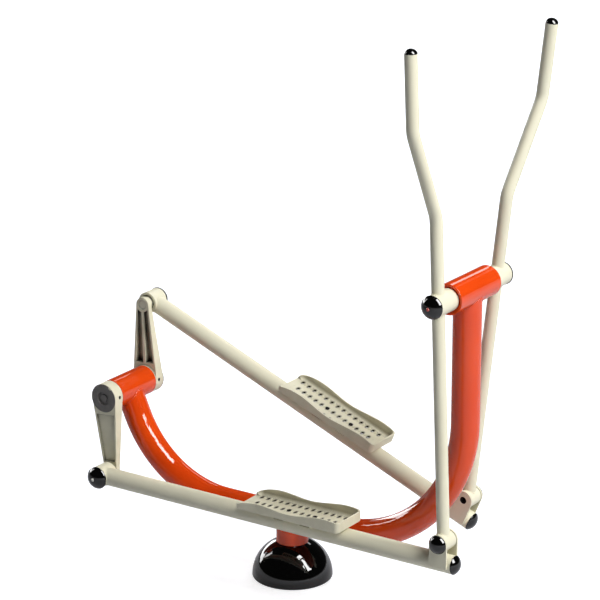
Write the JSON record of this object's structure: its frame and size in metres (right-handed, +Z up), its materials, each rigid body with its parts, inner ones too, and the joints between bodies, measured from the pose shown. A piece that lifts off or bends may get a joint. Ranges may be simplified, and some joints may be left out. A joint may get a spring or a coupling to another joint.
{
  "type": "outdoor air walker",
  "caption": "Outdoor air walker: crank at the rear, foot beams with trays, and swinging hand levers on a bent tube frame with a post.",
  "frame": {"origin": "on the ground, on the axis of the post", "axes": "+X forward towards the handles, +Y to the user's left, +Z up"},
  "size_m": [1.248, 0.5516, 1.5982],
  "materials": {
    "red_paint": "gloss powder coat",
    "cream_paint": "satin powder coat",
    "black_plastic": "gloss moulded",
    "red_plastic": "gloss moulded",
    "grey_plastic": "satin moulded",
    "bush_plastic": "moulded acetal",
    "zinc_steel": "zinc plated",
    "bare_steel": "machined",
    "dark_steel": "black oxide",
    "plate_paint": "gloss powder coat"
  },
  "bodies": {
    "frame": {"base_plate": "plate_paint", "base_cover": "black_plastic", "ground_post": "red_paint", "main_tube": "red_paint", "front_housing": "red_paint", "axle_hubs": "red_paint", "front_axle": "bare_steel", "axle_nuts": "zinc_steel", "rear_housing": "red_paint", "crank_bearings": "bare_steel", "housing_circlips": "dark_steel"},
    "crankset": {"crank_shaft": "bare_steel", "crank_keys": "bare_steel", "right_crank_arm": "cream_paint", "left_crank_arm": "cream_paint", "hub_washers": "dark_steel", "hub_set_screws": "dark_steel", "crank_pins": "bare_steel", "pin_circlips": "dark_steel"},
    "right_handle": {"right_handle_upper": "cream_paint", "right_handle_lower": "cream_paint", "right_pivot_sleeve": "cream_paint", "right_pivot_bushes": "bush_plastic", "right_pivot_cap": "black_plastic", "right_pivot_cap_screw": "red_plastic", "right_link_sleeve": "cream_paint", "right_link_bushes": "bush_plastic", "right_grip_cap": "black_plastic"},
    "right_beam": {"right_foot_beam": "cream_paint", "right_crank_sleeve": "cream_paint", "right_sleeve_cap": "black_plastic", "right_sleeve_cap_screw": "grey_plastic", "right_clevis_plates": "cream_paint", "right_clevis_pin": "zinc_steel", "right_clevis_cap": "black_plastic", "right_beam_end_cap": "black_plastic", "right_tray_bracket": "cream_paint", "right_foot_tray": "cream_paint", "right_tray_bolts": "zinc_steel"},
    "left_handle": {"left_handle_upper": "cream_paint", "left_handle_lower": "cream_paint", "left_pivot_sleeve": "cream_paint", "left_pivot_bushes": "bush_plastic", "left_pivot_cap": "black_plastic", "left_pivot_cap_screw": "red_plastic", "left_link_sleeve": "cream_paint", "left_link_bushes": "bush_plastic", "left_grip_cap": "black_plastic"},
    "left_beam": {"left_foot_beam": "cream_paint", "left_crank_sleeve": "cream_paint", "left_sleeve_cap": "black_plastic", "left_sleeve_cap_screw": "grey_plastic", "left_clevis_plates": "cream_paint", "left_clevis_pin": "zinc_steel", "left_clevis_cap": "black_plastic", "left_beam_end_cap": "black_plastic", "left_tray_bracket": "cream_paint", "left_foot_tray": "cream_paint", "left_tray_bolts": "zinc_steel"}
  },
  "joints": [
    {"name": "crank_turn", "type": "hinge", "parent": "frame", "child": "crankset", "pos_m": [-0.557, 0, 0.44], "axis": [0, 1, 0], "range_deg": [-17, 17]},
    {"name": "right_handle_swing", "type": "hinge", "parent": "frame", "child": "right_handle", "pos_m": [0.542, -0.147, 0.92], "axis": [0, 1, 0], "range_deg": [-6, 6]},
    {"name": "left_handle_swing", "type": "hinge", "parent": "frame", "child": "left_handle", "pos_m": [0.542, 0.147, 0.92], "axis": [0, 1, 0], "range_deg": [-6, 6]},
    {"name": "right_beam_hinge", "type": "hinge", "parent": "right_handle", "child": "right_beam", "pos_m": [0.56882, -0.147, 0.28256], "axis": [0, 1, 0], "range_deg": [-6, 6]},
    {"name": "left_beam_hinge", "type": "hinge", "parent": "left_handle", "child": "left_beam", "pos_m": [0.47036, 0.147, 0.28603], "axis": [0, 1, 0], "range_deg": [-6, 6]}
  ],
  "couplings": [
    {"joint": "right_handle_swing", "follows": "crank_turn", "ratio": 0.334},
    {"joint": "left_handle_swing", "follows": "crank_turn", "ratio": -0.304},
    {"joint": "right_beam_hinge", "follows": "crank_turn", "ratio": -0.343},
    {"joint": "left_beam_hinge", "follows": "crank_turn", "ratio": 0.3425}
  ]
}
